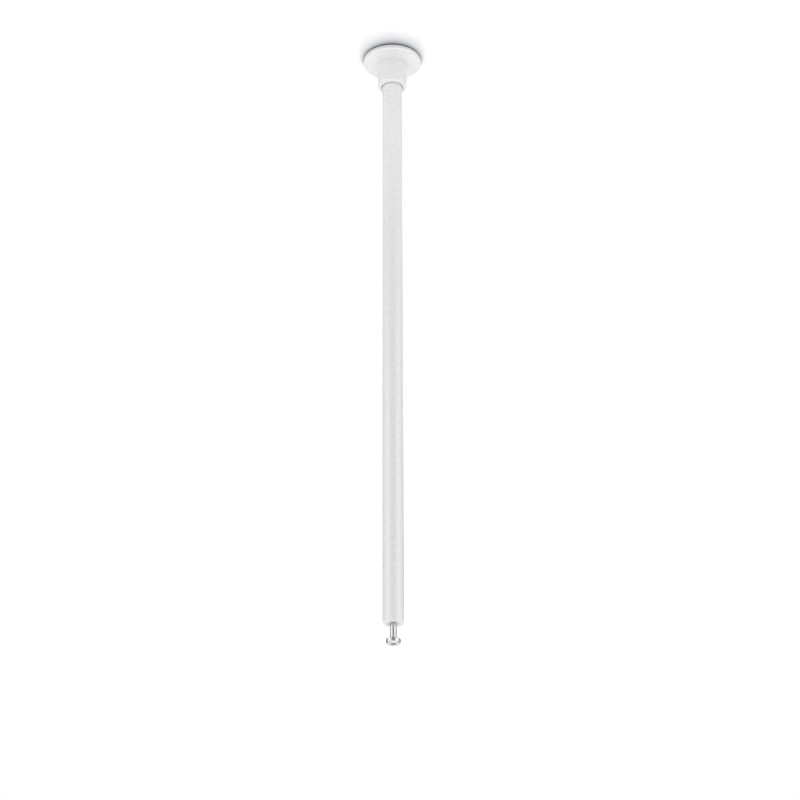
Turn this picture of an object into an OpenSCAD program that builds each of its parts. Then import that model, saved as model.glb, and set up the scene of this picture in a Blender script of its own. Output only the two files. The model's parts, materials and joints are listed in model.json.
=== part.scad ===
// Ceiling suspension rod: a white tube that hangs from a ceiling plate under a round
// canopy, and ends in a headed steel pin that carries a rail, track or sign.
// The origin is at the centre of the ceiling face, +Z points up into the ceiling,
// and everything hangs below it.

/* [Rod] */
// Height from the ceiling to the underside of the pin's head
overall_h = 600; // [300:10:1500]
// Outside diameter of the tube
tube_d = 19; // [18.5:0.5:19.5]
// Wall thickness of the tube
tube_wall = 1.5; // [1.2:0.1:1.6]

/* [Canopy] */
// Diameter of the canopy
canopy_d = 55; // [52:1:80]
// Height of the canopy's rim
canopy_rim_h = 4; // [3.5:0.5:5]
// Height of the canopy at its centre
canopy_h = 6.5; // [5.5:0.5:9]
// Radius of the canopy's lower edge
canopy_edge_r = 1.5; // [1.2:0.1:2]

/* [Collar] */
// Outside diameter of the collar
collar_d = 28; // [27:0.5:32]
// Length of the collar
collar_h = 24.5; // [22:0.5:40]
// Gap between the tube and the collar's bore
collar_gap = 0.5; // [0.4:0.1:0.6]
// Radius of the collar's lower outer edge
collar_edge_r = 1.8; // [0.5:0.1:2]

/* [Headed pin] */
// Diameter of the pin's shank
pin_d = 6; // [5.6:0.1:6.2]
// Length of shank that shows between the tube and the head
pin_reach = 14.3; // [8:0.1:30]
// Diameter of the head
head_d = 13; // [11:0.5:16]
// Height of the head
head_h = 4.4; // [4:0.1:6]

/* [Ceiling plate] */
// Diameter of the ceiling plate
plate_d = 46; // [44:1:48]
// Thickness of the ceiling plate
plate_t = 2; // [1.8:0.1:2]
// Diameter of the circle of screw holes
screw_circle_d = 34; // [32:1:36]
// Number of screw holes
screw_count = 3; // [2:1:6]
// Diameter of the screw holes
screw_hole_d = 4.5; // [3.5:0.1:4.5]

/* [Hidden] */

$fn = 96;
powder_white = [0.93, 0.93, 0.92];
zinc_steel = [0.72, 0.73, 0.75];
bright_nickel = [0.80, 0.80, 0.81];
black_steel = [0.20, 0.20, 0.21];
nylon = [0.88, 0.87, 0.82];

// Cuts run this far past the faces they open
past = 1;
// Clearance of a turning or sliding fit, on the radius
running = 0.05;

// Stud and nut at the top of the rod
stud_d = 10;
stud_neck_d = 8;
stud_shoulder_d = 14;
stud_shoulder_h = 1.5;
thread_slack = 0.02;
nut_across = 16;
nut_h = 5;
nut_gap = 0.5;
washer_d = 18;
washer_t = 0.8;
washer_teeth = 12;
nut_top = -(plate_t + stud_shoulder_h + nut_gap);
washer_top = nut_top - nut_h;
washer_notch_d = 2.4;
tube_top = washer_top - washer_t;
stud_engaged = 10;
stud_end = tube_top - stud_engaged;
stud_chamfer = 0.8;
screw_land = 0.8;

// Tube and its two plugs
bore_d = tube_d - 2 * tube_wall;
tube_end = -(overall_h - head_h - pin_reach);
edge_break = 0.4;
insert_h = 18;
insert_bore_depth = 11;
cross_pin_depth = 14;
insert_end = tube_top - insert_h;
insert_bore_end = tube_top - insert_bore_depth;
cross_pin_z = tube_top - cross_pin_depth;
cross_pin_d = 3;
cross_pin_wall = 0.6;
cross_pin_slit = 0.8;
cross_pin_inset = 0.4;

// Canopy and grommet
canopy_wall = 1;
canopy_flat_d = 28;
grommet_d = 23.5;
grommet_gap = 0.3;
grommet_flange_d = 25.5;
grommet_flange_t = 0.6;

// Collar, liners and grub screws
collar_top = -canopy_h;
collar_end = collar_top - collar_h;
collar_bore_d = tube_d + 2 * collar_gap;
liner_groove = 1.1;
liner_d = collar_bore_d + 2 * liner_groove;
liner_w = 4;
liner_slit = 1.5;
upper_land = 5.5;
lower_land = 3;
upper_liner_top = collar_top - upper_land;
lower_liner_top = collar_end + lower_land + liner_w;
grub_d = 4;
grub_z = (upper_liner_top - liner_w + lower_liner_top) / 2;
grub_angle = 45;
tip_h = 1.1;
grub_inset = 0.3;
grub_inner = tube_d / 2 + tip_h;
grub_outer = collar_d / 2 - grub_inset;
grub_socket = 2;
grub_socket_depth = 1.6;
tip_d = 2.4;

// End bush, pin bearing and pin
recess_d = 9.6;
recess_h = 1.2;
bearing_d = 8.4;
bearing_flange_d = 9.2;
bearing_flange_t = 0.8;
bearing_h = 10;
chamber_d = 13;
bush_h = 28;
bearing_low = tube_end + recess_h;
chamber_low = bearing_low + bearing_h;
thrust_d = 12;
thrust_t = 1;
wave_t = 0.3;
wave_h = 1.2;
wave_bore_gap = 0.2;
wave_rim_gap = 0.5;
wave_count = 3;
wave_steps = 48;
pin_nut_across = 9;
pin_nut_h = 5;
pin_thread_d = 5;
pin_tail = 1.2;
thrust_top = chamber_low + thrust_t;
wave_top = thrust_top + wave_h;
pin_nut_top = wave_top + pin_nut_h;
head_top = tube_end - pin_reach;
head_top_r = 0.8;
head_dome_r = 1.4;
head_band_h = head_h - head_top_r - head_dome_r;
neck_fillet_r = 1.3;
drive_angle = 45;
drive_w = 1.3;
drive_len = 6;
drive_depth = 2.2;

// Points of an arc, from one angle to another, both ends included
function arc(centre, r, from, to, steps = 12) =
    [for (i = [0 : steps])
        let (a = from + (to - from) * i / steps)
        centre + r * [cos(a), sin(a)]];

// Round bar between two heights
module bar(low, high, d) {
    translate([0, 0, low])
        cylinder(h = high - low, d = d);
}

// Plain ring between two heights
module ring(low, high, d_out, d_in) {
    difference() {
        bar(low, high, d_out);
        bar(low - past, high + past, d_in);
    }
}

// Hexagonal nut with its corners turned off at both faces
module hex_nut(low, high, across, bore) {
    corner_r = across / 2 / cos(30);
    chamfer = corner_r - across / 2;
    wide_r = corner_r + chamfer;
    difference() {
        translate([0, 0, low])
            cylinder(h = high - low, r = corner_r, $fn = 6);
        rotate_extrude()
            polygon([[across / 2, low - chamfer], [wide_r, low - chamfer],
                     [wide_r, low + chamfer], [across / 2, low]]);
        rotate_extrude()
            polygon([[across / 2, high], [wide_r, high - chamfer],
                     [wide_r, high + chamfer], [across / 2, high + chamfer]]);
        bar(low - past, high + past, bore);
    }
}

// Turns its children from the +X axis to one of the two grub screw places, on the +Y side
module at_grub(side) {
    rotate([0, 0, 90 - side * grub_angle])
        translate([0, 0, grub_z])
            rotate([0, 90, 0])
                children();
}

// Disc that is screwed to the ceiling, with countersunk screw holes
module ceiling_plate() {
    sink = plate_t - screw_land;
    color(zinc_steel)
        difference() {
            bar(-plate_t, 0, plate_d);
            bar(-plate_t - past, past, stud_neck_d);
            for (i = [0 : screw_count - 1])
                rotate([0, 0, 90 + 360 * i / screw_count])
                    translate([screw_circle_d / 2, 0, 0]) {
                        bar(-plate_t - past, past, screw_hole_d);
                        translate([0, 0, -plate_t])
                            cylinder(h = sink, d1 = screw_hole_d + 2 * sink, d2 = screw_hole_d);
                    }
        }
}

// Threaded stud, riveted through the plate
module plate_stud() {
    color(zinc_steel) {
        bar(-plate_t, 0, stud_neck_d);
        bar(-plate_t - stud_shoulder_h, -plate_t, stud_shoulder_d);
        bar(stud_end + stud_chamfer, -plate_t - stud_shoulder_h, stud_d);
        translate([0, 0, stud_end])
            cylinder(h = stud_chamfer, d1 = stud_d - 2 * stud_chamfer, d2 = stud_d);
    }
}

// Nut that locks the rod on its stud
module lock_nut() {
    color(zinc_steel)
        hex_nut(washer_top, nut_top, nut_across, stud_d + 2 * thread_slack);
}

// Washer with teeth round its rim
module lock_washer() {
    color(zinc_steel)
        difference() {
            ring(tube_top, washer_top, washer_d, stud_d + 2 * thread_slack);
            for (i = [0 : washer_teeth - 1])
                rotate([0, 0, 360 * (i + 0.5) / washer_teeth])
                    translate([washer_d / 2, 0, tube_top - past])
                        cylinder(h = washer_t + 2 * past, d = washer_notch_d);
        }
}

// Threaded plug in the top of the tube
module top_insert() {
    color(zinc_steel)
        difference() {
            bar(insert_end, tube_top, bore_d);
            bar(insert_bore_end, tube_top + past, stud_d + 2 * thread_slack);
            translate([-tube_d, 0, cross_pin_z])
                rotate([0, 90, 0])
                    cylinder(h = 2 * tube_d, d = cross_pin_d);
        }
}

// Slotted spring pin through the tube and the insert
module cross_pin() {
    length = tube_d - 2 * cross_pin_inset;
    color(black_steel)
        translate([-length / 2, 0, cross_pin_z])
            rotate([0, 90, 0])
                difference() {
                    cylinder(h = length, d = cross_pin_d);
                    translate([0, 0, -past])
                        cylinder(h = length + 2 * past, d = cross_pin_d - 2 * cross_pin_wall);
                    translate([0, -cross_pin_slit / 2, -past])
                        cube([cross_pin_d, cross_pin_slit, length + 2 * past]);
                }
}

// The long tube, with its lower edge broken
module tube() {
    color(powder_white)
        difference() {
            union() {
                bar(tube_end + edge_break, tube_top, tube_d);
                translate([0, 0, tube_end])
                    cylinder(h = edge_break, d1 = tube_d - 2 * edge_break, d2 = tube_d);
            }
            bar(tube_end - past, tube_top + past, bore_d);
            translate([-tube_d, 0, cross_pin_z])
                rotate([0, 90, 0])
                    cylinder(h = 2 * tube_d, d = cross_pin_d);
        }
}

// Plug in the lower end of the tube, with a recess, a bearing seat and a nut chamber
module end_bush() {
    color(powder_white)
        difference() {
            bar(tube_end, tube_end + bush_h, bore_d);
            bar(tube_end - past, bearing_low, recess_d);
            bar(tube_end, chamber_low + past, bearing_d);
            bar(chamber_low, tube_end + bush_h + past, chamber_d);
        }
}

// Flanged plain bearing that the pin turns in
module pin_bearing() {
    color(nylon)
        difference() {
            union() {
                bar(bearing_low, chamber_low, bearing_d);
                bar(bearing_low - bearing_flange_t, bearing_low, bearing_flange_d);
            }
            bar(bearing_low - past - bearing_flange_t, chamber_low + past, pin_d + 2 * running);
        }
}

// Sleeve that holds the canopy up, with grooves for its liners and two tapped holes
module collar() {
    r = collar_d / 2;
    color(powder_white)
        difference() {
            rotate_extrude()
                polygon(concat(
                    [[0, collar_end]],
                    arc([r - collar_edge_r, collar_end + collar_edge_r], collar_edge_r, -90, 0),
                    [[r, collar_top], [0, collar_top]]));
            bar(collar_end - past, collar_top + past, collar_bore_d);
            bar(upper_liner_top - liner_w, upper_liner_top, liner_d);
            bar(lower_liner_top - liner_w, lower_liner_top, liner_d);
            for (side = [-1, 1])
                at_grub(side)
                    cylinder(h = collar_d, d = grub_d + 2 * running);
        }
}

// Split guide ring in a groove of the collar
module liner(top) {
    color(nylon)
        difference() {
            ring(top - liner_w, top, liner_d, tube_d + 2 * running);
            translate([-liner_slit / 2, -liner_d, top - liner_w - past])
                cube([liner_slit, liner_d, liner_w + 2 * past]);
        }
}

module upper_liner() {
    liner(upper_liner_top);
}

module lower_liner() {
    liner(lower_liner_top);
}

// Grub screw with a hexagonal socket, which clamps the collar on the tube
module set_screw(side) {
    color(black_steel)
        at_grub(side)
            difference() {
                translate([0, 0, grub_inner])
                    cylinder(h = grub_outer - grub_inner, d = grub_d);
                translate([0, 0, grub_outer - grub_socket_depth])
                    cylinder(h = grub_socket_depth + past, d = grub_socket / cos(30), $fn = 6);
            }
}

// Nylon tip that presses on the tube without marking it
module screw_tip(side) {
    tip_inner = tube_d / 2 + running;
    color(nylon)
        at_grub(side)
            translate([0, 0, tip_inner])
                cylinder(h = grub_inner - tip_inner, d = tip_d);
}

module set_screw_left() {
    set_screw(-1);
}

module set_screw_right() {
    set_screw(1);
}

module screw_tip_left() {
    screw_tip(-1);
}

module screw_tip_right() {
    screw_tip(1);
}

// Shallow dished cover: a straight rim, a rounded edge and a face that falls to the centre hole
module canopy() {
    r = canopy_d / 2;
    edge_z = -canopy_rim_h + canopy_edge_r;
    flat_r = canopy_flat_d / 2;
    slope = atan2(canopy_h - canopy_rim_h, r - canopy_edge_r - flat_r);
    edge = [r - canopy_edge_r, edge_z];
    color(powder_white)
        rotate_extrude()
            polygon(concat(
                [[grommet_d / 2, -canopy_h], [flat_r, -canopy_h]],
                arc(edge, canopy_edge_r, -90 - slope, 0),
                [[r, 0], [r - canopy_wall, 0]],
                arc(edge, canopy_edge_r - canopy_wall, 0, -90 - slope, 4),
                [[flat_r, -canopy_h + canopy_wall], [grommet_d / 2, -canopy_h + canopy_wall]]));
}

// Ring in the canopy's centre hole, with a flange on the inside
module canopy_grommet() {
    inner_face = -canopy_h + canopy_wall;
    color(nylon)
        difference() {
            union() {
                bar(-canopy_h, inner_face, grommet_d);
                bar(inner_face, inner_face + grommet_flange_t, grommet_flange_d);
            }
            bar(-canopy_h - past, inner_face + past, tube_d + 2 * grommet_gap);
        }
}

// Head of the pin: a filleted neck, a straight band and a domed underside
module pin_head() {
    r = head_d / 2;
    band_top = head_top - head_top_r;
    band_low = band_top - head_band_h;
    rotate_extrude()
        polygon(concat(
            [[0, head_top + neck_fillet_r], [pin_d / 2, head_top + neck_fillet_r]],
            arc([pin_d / 2 + neck_fillet_r, head_top + neck_fillet_r], neck_fillet_r, 180, 270),
            arc([r - head_top_r, band_top], head_top_r, 90, 0),
            arc([r - head_dome_r, band_low], head_dome_r, 0, -90),
            [[0, -overall_h]]));
}

// Cross recess in the underside of the head
module cross_recess() {
    rotate([0, 0, drive_angle])
        for (turn = [0, 90])
            rotate([0, 0, turn])
                translate([-drive_len / 2, -drive_w / 2, -overall_h - past])
                    cube([drive_len, drive_w, drive_depth + past]);
}

// Pin that the load hangs on, threaded at its upper end
module headed_pin() {
    color(bright_nickel)
        difference() {
            union() {
                pin_head();
                bar(head_top, wave_top, pin_d);
                bar(wave_top, pin_nut_top + pin_tail, pin_thread_d);
            }
            cross_recess();
        }
}

// Flat washer between the bearing and the spring washer
module thrust_washer() {
    color(zinc_steel)
        ring(chamber_low, thrust_top, thrust_d, pin_d + 2 * thread_slack);
}

// Height of the wave washer's lower face at an angle
function wave_z(a) = thrust_top + (wave_h - wave_t) * (1 - cos(wave_count * a)) / 2;

// Spring washer with three waves, swept round the pin
module wave_washer() {
    r_in = pin_d / 2 + wave_bore_gap;
    r_out = thrust_d / 2 - wave_rim_gap;
    rims = [[r_in, 0], [r_out, 0], [r_out, wave_t], [r_in, wave_t]];
    points = [for (i = [0 : wave_steps - 1])
        let (a = 360 * i / wave_steps)
        for (rim = rims)
            [rim[0] * cos(a), rim[0] * sin(a), wave_z(a) + rim[1]]];
    faces = [for (i = [0 : wave_steps - 1])
        for (j = [0 : 3])
            let (next = (i + 1) % wave_steps, side = (j + 1) % 4)
            [4 * i + j, 4 * i + side, 4 * next + side, 4 * next + j]];
    color(zinc_steel)
        polyhedron(points, faces);
}

// Nut on the pin's upper end, inside the bush
module pin_nut() {
    color(zinc_steel)
        hex_nut(wave_top, pin_nut_top, pin_nut_across, pin_thread_d + 2 * thread_slack);
}

ceiling_plate();
plate_stud();
lock_nut();
lock_washer();
top_insert();
cross_pin();
tube();
end_bush();
pin_bearing();
collar();
upper_liner();
lower_liner();
set_screw_left();
screw_tip_left();
set_screw_right();
screw_tip_right();
canopy();
canopy_grommet();
headed_pin();
thrust_washer();
wave_washer();
pin_nut();
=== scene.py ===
import json
import math

import bpy
from mathutils import Matrix, Vector


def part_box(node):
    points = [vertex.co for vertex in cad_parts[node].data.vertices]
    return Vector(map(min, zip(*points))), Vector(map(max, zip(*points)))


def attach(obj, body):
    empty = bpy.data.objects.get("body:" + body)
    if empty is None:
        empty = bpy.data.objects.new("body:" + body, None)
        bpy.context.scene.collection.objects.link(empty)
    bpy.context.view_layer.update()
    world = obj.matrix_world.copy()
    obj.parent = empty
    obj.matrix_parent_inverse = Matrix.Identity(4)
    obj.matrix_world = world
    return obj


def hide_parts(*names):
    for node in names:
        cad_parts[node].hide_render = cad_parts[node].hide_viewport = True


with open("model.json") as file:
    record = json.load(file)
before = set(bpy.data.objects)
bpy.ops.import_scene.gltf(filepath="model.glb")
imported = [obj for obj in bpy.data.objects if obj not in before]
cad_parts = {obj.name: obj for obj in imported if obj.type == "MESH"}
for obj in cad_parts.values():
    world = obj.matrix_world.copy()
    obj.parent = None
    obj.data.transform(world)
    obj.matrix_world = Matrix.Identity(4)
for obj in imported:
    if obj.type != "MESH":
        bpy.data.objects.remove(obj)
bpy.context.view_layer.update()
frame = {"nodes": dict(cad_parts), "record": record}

MM = 0.001
TURNED_SIDES = 192              # sides of a turned piece
HOLE_SIDES = 64                 # sides of a drilled hole
SHARP = math.radians(32)        # edges sharper than this stay hard
ON_AXIS = 1e-7                  # radius in metres that counts as the axis itself


# ---------------------------------------------------------------- mesh helpers

def arc(centre_r, centre_z, radius, start, end, steps=8):
    """Points (r, z) of an arc between two angles in degrees, both ends included."""
    points = []
    for i in range(steps + 1):
        angle = math.radians(start + (end - start) * i / steps)
        points.append((centre_r + radius * math.cos(angle), centre_z + radius * math.sin(angle)))
    return points


def finish_shading(mesh):
    """Smooth faces, with hard edges kept by angle."""
    mesh.polygons.foreach_set("use_smooth", [True] * len(mesh.polygons))
    mesh.set_sharp_from_angle(angle=SHARP)


def new_object(name, verts, faces):
    """Object from plain lists of points and faces."""
    mesh = bpy.data.meshes.new(name)
    mesh.from_pydata(verts, [], faces)
    mesh.validate()
    mesh.update()
    finish_shading(mesh)
    piece = bpy.data.objects.new(name, mesh)
    bpy.context.collection.objects.link(piece)
    return piece


def lathe(name, profile, closed=True):
    """Turns a profile of (r, z) points, listed anticlockwise, about the Z axis."""
    rings = []
    verts = []
    for r, z in profile:
        if r < ON_AXIS:
            rings.append([len(verts)] * TURNED_SIDES)
            verts.append((0.0, 0.0, z))
            continue
        rings.append(list(range(len(verts), len(verts) + TURNED_SIDES)))
        for i in range(TURNED_SIDES):
            angle = 2 * math.pi * i / TURNED_SIDES
            verts.append((r * math.cos(angle), r * math.sin(angle), z))
    pairs = list(zip(rings, rings[1:]))
    if closed:
        pairs.append((rings[-1], rings[0]))
    faces = []
    for low, high in pairs:
        for i in range(TURNED_SIDES):
            j = (i + 1) % TURNED_SIDES
            corners = list(dict.fromkeys([low[i], low[j], high[j], high[i]]))
            if len(corners) > 2:
                faces.append(corners)
    return new_object(name, verts, faces)


def walls(rings, sides):
    """Faces between each ring of points and the next, the rings stored one after another."""
    faces = []
    for ring in range(rings - 1):
        here = ring * sides
        above = here + sides
        for i in range(sides):
            j = (i + 1) % sides
            faces.append((here + i, here + j, above + j, above + i))
    return faces


def cap(ring, sides):
    """Face over one ring of points."""
    return tuple(range(ring * sides, (ring + 1) * sides))


def cut(piece, cutters):
    """Cuts solids out of a piece and removes them."""
    for cutter in cutters:
        modifier = piece.modifiers.new("cut", "BOOLEAN")
        modifier.operation = "DIFFERENCE"
        modifier.solver = "EXACT"
        modifier.object = cutter
    evaluated = piece.evaluated_get(bpy.context.evaluated_depsgraph_get())
    mesh = bpy.data.meshes.new_from_object(evaluated)
    piece.modifiers.clear()
    piece.data = mesh
    mesh.name = piece.name
    finish_shading(mesh)
    for cutter in cutters:
        bpy.data.objects.remove(cutter)


def drill(azimuth, z, start, end, radius):
    """Cutter for a level hole that points at the Z axis, from one distance to another from it."""
    turn = Matrix.Rotation(azimuth, 4, "Z")
    verts = []
    for x in (start, end):
        for i in range(HOLE_SIDES):
            angle = 2 * math.pi * i / HOLE_SIDES
            point = Vector((x, radius * math.cos(angle), z + radius * math.sin(angle)))
            verts.append(tuple(turn @ point))
    faces = walls(2, HOLE_SIDES)
    faces.append(tuple(reversed(cap(0, HOLE_SIDES))))
    faces.append(cap(1, HOLE_SIDES))
    return new_object("drill", verts, faces)


# ---------------------------------------------------------------- material helpers

def new_material(name):
    """Node material and its shader."""
    material = bpy.data.materials.new(name)
    material.use_nodes = True
    return material, material.node_tree.nodes["Principled BSDF"]


def add(material, kind, **values):
    """Adds a node and sets its inputs by name."""
    node = material.node_tree.nodes.new(kind)
    for name, value in values.items():
        node.inputs[name.replace("_", " ")].default_value = value
    return node


def link(material, output, socket):
    """Joins an output to a socket."""
    material.node_tree.links.new(output, socket)


def object_place(material, stretch=(1, 1, 1)):
    """The surface's own position in metres, stretched along its axes."""
    place = add(material, "ShaderNodeTexCoord")
    mapping = add(material, "ShaderNodeMapping", Scale=stretch)
    link(material, place.outputs["Object"], mapping.inputs["Vector"])
    return mapping.outputs["Vector"]


def noise(material, place, per_metre, detail=2.0):
    """Noise with so many features in a metre, from 0 to 1."""
    node = add(material, "ShaderNodeTexNoise", Scale=per_metre, Detail=detail)
    link(material, place, node.inputs["Vector"])
    return node.outputs["Fac"]


def spread(material, factor, low, high, socket):
    """Sends noise to a socket, its middle part spread between two numbers."""
    node = add(material, "ShaderNodeMapRange", From_Min=0.3, From_Max=0.7, To_Min=low, To_Max=high)
    link(material, factor, node.inputs["Value"])
    link(material, node.outputs["Result"], socket)


def tint(material, factor, dark, light, socket):
    """Sends a mix of two colours to a socket."""
    node = material.node_tree.nodes.new("ShaderNodeMix")
    node.data_type = "RGBA"
    ends = {"A": dark, "B": light}
    for one in node.inputs:
        if one.type == "RGBA":
            one.default_value = (*ends[one.name], 1)
    link(material, factor, node.inputs["Factor"])
    mixed = [one for one in node.outputs if one.type == "RGBA"][0]
    link(material, mixed, socket)


def emboss(material, height, distance, strength, shader):
    """Bump from a height, with its depth in metres."""
    node = add(material, "ShaderNodeBump", Strength=strength, Distance=distance)
    link(material, height, node.inputs["Height"])
    link(material, node.outputs["Normal"], shader.inputs["Normal"])


# ---------------------------------------------------------------- materials

def powder_coat():
    """Satin white powder coat: very fine orange peel, faint clouding in colour and gloss."""
    material, shader = new_material("powder_coat")
    place = object_place(material)
    shader.inputs["IOR"].default_value = 1.5
    shader.inputs["Specular IOR Level"].default_value = 1.0
    tint(material, noise(material, place, 60), (0.745, 0.748, 0.750), (0.755, 0.757, 0.757),
         shader.inputs["Base Color"])
    spread(material, noise(material, place, 900), 0.26, 0.30, shader.inputs["Roughness"])
    emboss(material, noise(material, place, 1100, 1.0), 0.00002, 0.015, shader)
    return material


def bright_nickel():
    """Polished nickel plate with faint turning marks round the axis."""
    material, shader = new_material("bright_nickel")
    place = object_place(material)
    rings = object_place(material, (200, 200, 9000))
    shader.inputs["Metallic"].default_value = 1.0
    tint(material, noise(material, place, 400), (0.54, 0.55, 0.56), (0.59, 0.595, 0.60),
         shader.inputs["Base Color"])
    spread(material, noise(material, rings, 1.0), 0.24, 0.32, shader.inputs["Roughness"])
    emboss(material, noise(material, rings, 1.0), 0.000006, 0.3, shader)
    return material


def zinc_steel():
    """Bright zinc plate: mottled colour, fine rolled grain."""
    material, shader = new_material("zinc_steel")
    place = object_place(material)
    shader.inputs["Metallic"].default_value = 1.0
    tint(material, noise(material, place, 250, 4.0), (0.56, 0.585, 0.61), (0.68, 0.685, 0.66),
         shader.inputs["Base Color"])
    spread(material, noise(material, place, 1500), 0.24, 0.38, shader.inputs["Roughness"])
    emboss(material, noise(material, place, 2500), 0.00001, 0.4, shader)
    return material


def black_steel():
    """Black oxide with a thin film of oil."""
    material, shader = new_material("black_steel")
    place = object_place(material)
    shader.inputs["Metallic"].default_value = 0.7
    tint(material, noise(material, place, 900), (0.030, 0.030, 0.033), (0.065, 0.064, 0.066),
         shader.inputs["Base Color"])
    spread(material, noise(material, place, 1800), 0.32, 0.48, shader.inputs["Roughness"])
    emboss(material, noise(material, place, 3000), 0.00001, 0.4, shader)
    return material


def nylon():
    """Natural nylon: matt, a little translucent."""
    material, shader = new_material("nylon")
    place = object_place(material)
    shader.inputs["Subsurface Weight"].default_value = 0.2
    shader.inputs["Subsurface Radius"].default_value = (0.002, 0.002, 0.0015)
    tint(material, noise(material, place, 300), (0.77, 0.76, 0.70), (0.83, 0.82, 0.77),
         shader.inputs["Base Color"])
    spread(material, noise(material, place, 1200), 0.48, 0.60, shader.inputs["Roughness"])
    emboss(material, noise(material, place, 2200), 0.00001, 0.3, shader)
    return material


MATERIALS = {
    "powder_coat": powder_coat(),
    "bright_nickel": bright_nickel(),
    "zinc_steel": zinc_steel(),
    "black_steel": black_steel(),
    "nylon": nylon(),
}
SLOT_OF = {row["node"]: row["material_slot"] for row in frame["record"]["subparts"]}


def dress(piece, material):
    """Gives a new piece its one material."""
    piece.data.materials.clear()
    piece.data.materials.append(material)


def coat(piece, material):
    """Puts a material in every slot of a CAD piece."""
    if not piece.data.materials:
        piece.data.materials.append(material)
    for index in range(len(piece.data.materials)):
        piece.data.materials[index] = material


def stand_for(piece, body, node):
    """The piece takes a CAD node's place, body and finish."""
    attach(piece, body)
    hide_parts(node)
    dress(piece, MATERIALS[SLOT_OF[node]])


# ---------------------------------------------------------------- turned pieces

CROSS_PIN_HOLE_R = 1.5 * MM
COLLAR_GAP = 0.5 * MM           # between the tube and the collar
CANOPY_WALL = 1 * MM
CANOPY_RIM_H = 4 * MM
CANOPY_FLAT_R = 14 * MM         # flat middle that rests on the collar
GROMMET_LAP = 1 * MM            # how far the grommet's flange covers the canopy
GRUB_HOLE_R = 2.05 * MM
GRUB_AZIMUTHS = (math.radians(45), math.radians(135))
SHANK_R = 3 * MM
PIN_THREAD_R = 2.5 * MM
HEAD_H = 4.4 * MM


def size_of(node):
    """Radius, lowest and highest Z of a round CAD node."""
    low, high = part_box(node)
    return (high[1] - low[1]) / 2, low[2], high[2]


def make_tube():
    """Long tube with its outer edges broken and a hole through it for the cross pin."""
    r, low, high = size_of("tube")
    bore = size_of("end_bush")[0]
    edge = 0.4 * MM
    profile = [(bore, low)]
    profile += arc(r - edge, low + edge, edge, -90, 0)
    profile += arc(r - edge, high - edge, edge, 0, 90)
    profile += [(bore, high)]
    piece = lathe("tube_skin", profile)
    pin_low, pin_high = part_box("cross_pin")
    pin_z = (pin_low[2] + pin_high[2]) / 2
    cut(piece, [drill(0, pin_z, -2 * r, 2 * r, CROSS_PIN_HOLE_R)])
    stand_for(piece, "rod", "tube")


def make_end_bush():
    """Plug flush with the tube's end, with the recess and the seat for the bearing."""
    r, low, high = size_of("end_bush")
    bearing_high = size_of("pin_bearing")[2]
    recess = 4.8 * MM
    recess_top = low + 1.2 * MM
    seat = 4.2 * MM
    chamber = 6.5 * MM
    recess_edge = 0.25 * MM
    outer_edge = 0.1 * MM
    profile = [(seat, recess_top), (recess, recess_top)]
    profile += arc(recess + recess_edge, low + recess_edge, recess_edge, 180, 270, 6)
    profile += arc(r - outer_edge, low + outer_edge, outer_edge, -90, 0, 3)
    profile += [(r, high), (chamber, high), (chamber, bearing_high), (seat, bearing_high)]
    piece = lathe("end_bush_skin", profile)
    stand_for(piece, "rod", "end_bush")


def make_collar():
    """Sleeve under the canopy, with softened edges, two liner grooves and two tapped holes."""
    r, low, high = size_of("collar")
    bore = size_of("tube")[0] + COLLAR_GAP
    groove = size_of("lower_liner")[0]
    bore_edge = 0.4 * MM
    lower_edge = 1.8 * MM
    upper_edge = 0.2 * MM
    profile = arc(bore + bore_edge, low + bore_edge, bore_edge, 180, 270, 6)
    profile += arc(r - lower_edge, low + lower_edge, lower_edge, -90, 0, 8)
    profile += arc(r - upper_edge, high - upper_edge, upper_edge, 0, 90, 6)
    profile += [(bore, high)]
    for liner in ("upper_liner", "lower_liner"):
        liner_low, liner_high = size_of(liner)[1:]
        profile += [(bore, liner_high), (groove, liner_high)]
        profile += [(groove, liner_low), (bore, liner_low)]
    piece = lathe("collar_skin", profile)
    grub_low, grub_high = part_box("set_screw_left")
    grub_z = (grub_low[2] + grub_high[2]) / 2
    holes = [drill(azimuth, grub_z, 0, 2 * r, GRUB_HOLE_R) for azimuth in GRUB_AZIMUTHS]
    cut(piece, holes)
    stand_for(piece, "collar", "collar")


def make_canopy():
    """Shallow dished cover: a straight rim, a rounded edge and a face that falls to the centre."""
    r, low, high = size_of("canopy")
    hole = size_of("canopy_grommet")[0] - GROMMET_LAP
    rim_low = high - CANOPY_RIM_H
    edge = 1.5 * MM
    lip = 0.25 * MM
    slope = math.degrees(math.atan2(rim_low - low, r - edge - CANOPY_FLAT_R))
    profile = [(hole, low), (CANOPY_FLAT_R, low)]
    profile += arc(r - edge, rim_low + edge, edge, -90 - slope, 0, 12)
    profile += arc(r - lip, high - lip, lip, 0, 90, 4)
    profile += [(r - CANOPY_WALL, high)]
    profile += arc(r - edge, rim_low + edge, edge - CANOPY_WALL, 0, -90 - slope, 4)
    profile += [(CANOPY_FLAT_R, low + CANOPY_WALL), (hole, low + CANOPY_WALL)]
    piece = lathe("canopy_skin", profile)
    stand_for(piece, "canopy", "canopy")


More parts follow.
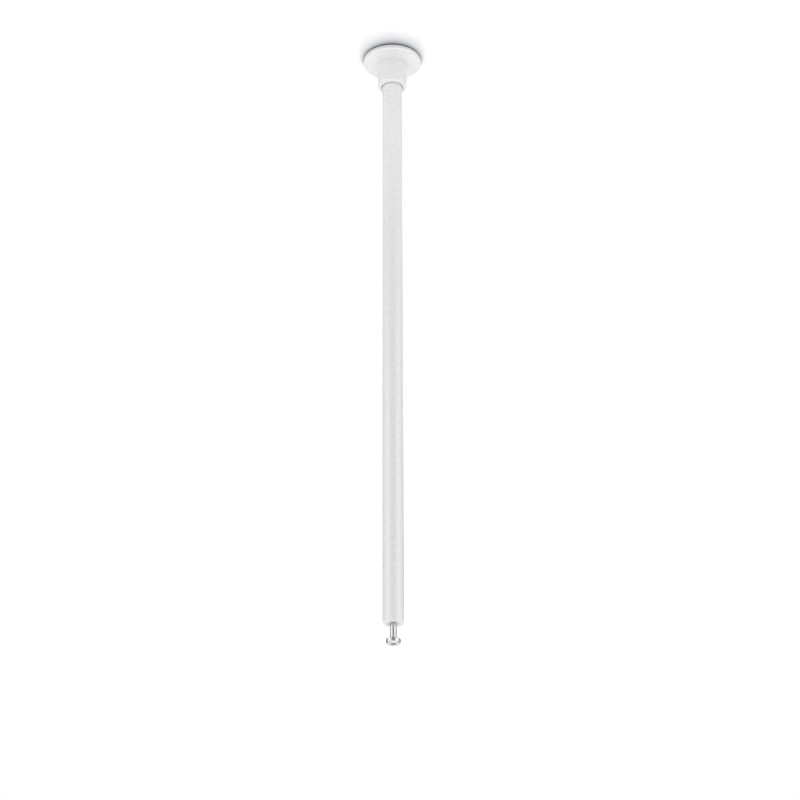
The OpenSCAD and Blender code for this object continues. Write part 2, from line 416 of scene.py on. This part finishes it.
def cross_cutter(z, length, width, depth, turn):
    """Tapered cross, its mouth facing down at height z."""
    arms = 4
    corners = 3 * arms
    over = 0.5 * MM
    levels = [                  # height, length and width, from the mouth to the floor
        (z - over, length * 1.06, width * 1.04),
        (z + depth * 0.75, length * 0.62, width * 0.8),
        (z + depth, length * 0.3, width * 0.72),
    ]
    verts = []
    for height, long, wide in levels:
        for arm in range(arms):
            angle = turn + 2 * math.pi * arm / arms
            along = Vector((math.cos(angle), math.sin(angle)))
            across = Vector((-math.sin(angle), math.cos(angle)))
            for a, b in ((wide / 2, -wide / 2), (long / 2, -wide / 2), (long / 2, wide / 2)):
                point = along * a + across * b
                verts.append((point.x, point.y, height))
    faces = walls(len(levels), corners)
    faces.append(tuple(reversed(cap(0, corners))))
    faces.append(cap(len(levels) - 1, corners))
    return new_object("cross", verts, faces)


def make_headed_pin():
    """Pin with a filleted neck, a pan head and a cross recess."""
    r, low, high = size_of("headed_pin")
    head_top = low + HEAD_H
    nut_low = size_of("pin_nut")[1]
    shoulder = 0.8 * MM
    neck = 1.3 * MM
    dome = 1.4 * MM
    shank_edge = 0.2 * MM
    tip_edge = 0.5 * MM
    profile = [(0, low)]
    profile += arc(r - dome, low + dome, dome, -90, 0, 12)
    profile += arc(r - shoulder, head_top - shoulder, shoulder, 0, 90, 12)
    profile += arc(SHANK_R + neck, head_top + neck, neck, 270, 180, 8)
    profile += [(SHANK_R, nut_low - shank_edge), (SHANK_R - shank_edge, nut_low)]
    profile += [(PIN_THREAD_R, nut_low), (PIN_THREAD_R, high - tip_edge)]
    profile += [(PIN_THREAD_R - tip_edge, high), (0, high)]
    piece = lathe("headed_pin_skin", profile, closed=False)
    recess_length = 6 * MM
    recess_width = 1.3 * MM
    recess_depth = 2.2 * MM
    cut(piece, [cross_cutter(low, recess_length, recess_width, recess_depth, math.radians(45))])
    stand_for(piece, "swivel_pin", "headed_pin")


def make_stud_thread(low, top):
    """M10 thread cut as a real helix, with a chamfered tip and a run-out at the top."""
    major = 5 * MM
    pitch = 1.5 * MM
    depth = 0.8 * MM
    crest = 0.12                # share of the half pitch that is flat, at crest and root
    run_out = 1.2 * MM
    tip_edge = 0.8 * MM
    sides = 96
    rows_per_turn = 8
    rows = int((top - low) / pitch * rows_per_turn)
    verts = []
    for row in range(rows + 1):
        z = low + (top - low) * row / rows
        for i in range(sides):
            angle = 2 * math.pi * i / sides
            phase = (z / pitch - i / sides) % 1.0
            flank = abs(2 * phase - 1)
            groove = depth * min(1.0, max(0.0, (flank - crest) / (1 - 2 * crest)))
            fade = min(1.0, (top - z) / run_out)
            chamfer = max(0.0, tip_edge - (z - low))
            radius = min(major - groove * fade, major - chamfer)
            verts.append((radius * math.cos(angle), radius * math.sin(angle), z))
    faces = walls(rows + 1, sides)
    faces.append(tuple(reversed(cap(0, sides))))
    return new_object("stud_thread", verts, faces)


def make_plate_stud():
    """Threaded stud with a shoulder under the plate and a riveted neck through it."""
    low, high = size_of("plate_stud")[1:]
    shoulder_h = 1.5 * MM
    shoulder_low = size_of("ceiling_plate")[1] - shoulder_h
    shoulder = 7 * MM
    neck = 4 * MM
    edge = 0.3 * MM
    thread = make_stud_thread(low, shoulder_low)
    profile = [(0, shoulder_low)]
    profile += arc(shoulder - edge, shoulder_low + edge, edge, -90, 0, 6)
    profile += [(shoulder, shoulder_low + shoulder_h), (neck, shoulder_low + shoulder_h)]
    profile += [(neck, high - edge), (neck - edge, high), (0, high)]
    head = lathe("stud_shoulder", profile, closed=False)
    thread.parent = head
    dress(thread, MATERIALS["zinc_steel"])
    stand_for(head, "rod", "plate_stud")


make_tube()
make_end_bush()
make_collar()
make_canopy()
make_headed_pin()
make_plate_stud()

REPLACED = ("tube", "end_bush", "collar", "canopy", "headed_pin", "plate_stud")
for node, piece in frame["nodes"].items():
    if node not in REPLACED:
        coat(piece, MATERIALS[SLOT_OF[node]])


# ---------------------------------------------------------------- camera

CAMERA_PLACE = (0.0064, -1.977, -1.3947)
PITCH = math.radians(27.48)     # upwards
ROLL = math.radians(0.21)
camera_data = bpy.data.cameras.new("camera")
camera_data.sensor_width = 36.0
camera_data.lens = 112.4
camera = bpy.data.objects.new("camera", camera_data)
camera.matrix_world = (Matrix.Translation(CAMERA_PLACE)
                       @ Matrix.Rotation(math.pi / 2 + PITCH, 4, "X")
                       @ Matrix.Rotation(-ROLL, 4, "Z"))
bpy.context.collection.objects.link(camera)
bpy.context.scene.camera = camera


# ---------------------------------------------------------------- stage

CEILING_X = (-0.5, 0.5)
CEILING_Y = (-0.18, 2.35)
CEILING_Z = 0.001               # just above the canopy
CEILING_GLOW = 0.24
# painted contact shadow on the ceiling: how far it reaches, how deep it goes, which way it leans
# and its cool colour
SHADOW_REACH = 0.11             # metres
SHADOW_DEPTH = 2.1
SHADOW_LEAN = math.radians(50)  # towards the far side
SHADOW_COLOUR = (0.10, 0.112, 0.135)
WHITE = (1, 1, 1)
FLOOR_HALF = 30                 # metres
FLOOR_Z = -2.4
FLOOR_GREY = (0.88, 0.88, 0.88)
FLOOR_GLOW = 0.14


def plane(name, x, y, z, facing):
    """Level rectangle over the ranges x and y; facing is 1 for up and -1 for down."""
    corners = [(x[0], y[0], z), (x[1], y[0], z), (x[1], y[1], z), (x[0], y[1], z)]
    face = (0, 1, 2, 3) if facing > 0 else (3, 2, 1, 0)
    piece = new_object(name, corners, [face])
    return piece


def ceiling_material():
    """White ceiling, glowing evenly, with a painted contact shadow: an ambient-occlusion term
    darkens its colour and its glow near the canopy. It is seen only from below: from above the
    view goes through it."""
    material, shader = new_material("ceiling_white")
    # painted shadow: ambient occlusion, leaned towards the far side and deepened, darkens the
    # ceiling's colour
    shade = add(material, "ShaderNodeAmbientOcclusion", Distance=SHADOW_REACH)
    shade.samples = 16
    lean = add(material, "ShaderNodeCombineXYZ", Y=math.sin(SHADOW_LEAN), Z=-math.cos(SHADOW_LEAN))
    link(material, lean.outputs["Vector"], shade.inputs["Normal"])
    deepen = add(material, "ShaderNodeMath")
    deepen.operation = "POWER"
    deepen.inputs[1].default_value = SHADOW_DEPTH
    link(material, shade.outputs["AO"], deepen.inputs[0])
    # the painted shadow darkens both the base colour and the glow, towards a cool grey
    for name in ("Base Color", "Emission Color"):
        tint(material, deepen.outputs["Value"], SHADOW_COLOUR, WHITE, shader.inputs[name])
    shader.inputs["Roughness"].default_value = 1.0
    shader.inputs["Specular IOR Level"].default_value = 0.0
    shader.inputs["Emission Strength"].default_value = CEILING_GLOW
    side = add(material, "ShaderNodeNewGeometry")
    clear = add(material, "ShaderNodeBsdfTransparent")
    mix = add(material, "ShaderNodeMixShader")
    link(material, side.outputs["Backfacing"], mix.inputs[0])
    link(material, shader.outputs["BSDF"], mix.inputs[1])
    link(material, clear.outputs["BSDF"], mix.inputs[2])
    surface = material.node_tree.nodes["Material Output"].inputs["Surface"]
    link(material, mix.outputs["Shader"], surface)
    return material


def floor_material():
    """Plain pale floor."""
    material, shader = new_material("floor_white")
    shader.inputs["Base Color"].default_value = (*FLOOR_GREY, 1)
    shader.inputs["Roughness"].default_value = 0.9
    shader.inputs["Emission Color"].default_value = (*WHITE, 1)
    shader.inputs["Emission Strength"].default_value = FLOOR_GLOW
    return material


ceiling = plane("ceiling", CEILING_X, CEILING_Y, CEILING_Z, -1)
dress(ceiling, ceiling_material())
ceiling.visible_glossy = False
floor = plane("floor", (-FLOOR_HALF, FLOOR_HALF), (-FLOOR_HALF, FLOOR_HALF), FLOOR_Z, 1)
dress(floor, floor_material())


# ---------------------------------------------------------------- light

SIDE_AZIMUTH = 60               # degrees from the camera's side
SIDE_DISTANCE = 1.5
SIDE_Z = -0.4
BACK_DISTANCE = 2.4
BACK_Z = -1.2
LOW_Z = -2.2
FILL = 0.42                     # even light from all round
HORIZON = -0.062                # sine of the view's rise where the grey ends
OVERHEAD = 0.05                 # and where the white begins
HORIZON_GREY = 0.512            # matches the floor far away


def beside(azimuth, distance, z):
    """Place round the rod. Azimuth 0 is the camera's side, 90 its right."""
    a = math.radians(azimuth)
    return Vector((distance * math.sin(a), -distance * math.cos(a), z))


def softbox(name, place, aim, width, height, radiance):
    """Rectangular area light that the camera does not see."""
    data = bpy.data.lights.new(name, "AREA")
    data.shape = "RECTANGLE"
    data.size = width
    data.size_y = height
    data.energy = radiance * math.pi * width * height
    light = bpy.data.objects.new(name, data)
    light.location = place
    light.rotation_euler = (aim - place).to_track_quat("-Z", "Y").to_euler()
    light.visible_camera = False
    bpy.context.collection.objects.link(light)


def studio_world():
    """Even fill for the light; to the camera, pale grey at the horizon and white overhead."""
    world = bpy.data.worlds.new("studio")
    world.use_nodes = True
    tree = world.node_tree
    seen = tree.nodes["Background"]
    seen.inputs["Color"].default_value = (*WHITE, 1)
    place = tree.nodes.new("ShaderNodeTexCoord")
    split = tree.nodes.new("ShaderNodeSeparateXYZ")
    rise = tree.nodes.new("ShaderNodeMapRange")
    rise.inputs["From Min"].default_value = HORIZON
    rise.inputs["From Max"].default_value = OVERHEAD
    rise.inputs["To Min"].default_value = HORIZON_GREY
    rise.inputs["To Max"].default_value = 1.0
    tree.links.new(place.outputs["Generated"], split.inputs["Vector"])
    tree.links.new(split.outputs["Z"], rise.inputs["Value"])
    tree.links.new(rise.outputs["Result"], seen.inputs["Strength"])
    lit = tree.nodes.new("ShaderNodeBackground")
    lit.inputs["Color"].default_value = (*WHITE, 1)
    lit.inputs["Strength"].default_value = FILL
    path = tree.nodes.new("ShaderNodeLightPath")
    mix = tree.nodes.new("ShaderNodeMixShader")
    tree.links.new(path.outputs["Is Camera Ray"], mix.inputs[0])
    tree.links.new(lit.outputs["Background"], mix.inputs[1])
    tree.links.new(seen.outputs["Background"], mix.inputs[2])
    tree.links.new(mix.outputs["Shader"], tree.nodes["World Output"].inputs["Surface"])
    return world


for name, azimuth in (("left_box", -SIDE_AZIMUTH), ("right_box", SIDE_AZIMUTH)):
    softbox(name, beside(azimuth, SIDE_DISTANCE, SIDE_Z), beside(0, 0, SIDE_Z),
            width=1.6, height=2.0, radiance=1.36)
softbox("back_box", beside(180, BACK_DISTANCE, BACK_Z), beside(0, 0, BACK_Z),
        width=5.0, height=2.2, radiance=0.7)
softbox("low_box", beside(0, 0, LOW_Z), beside(0, 0, 0),
        width=1.6, height=1.6, radiance=1.65)
bpy.context.scene.world = studio_world()
bpy.context.scene.view_settings.view_transform = "Standard"
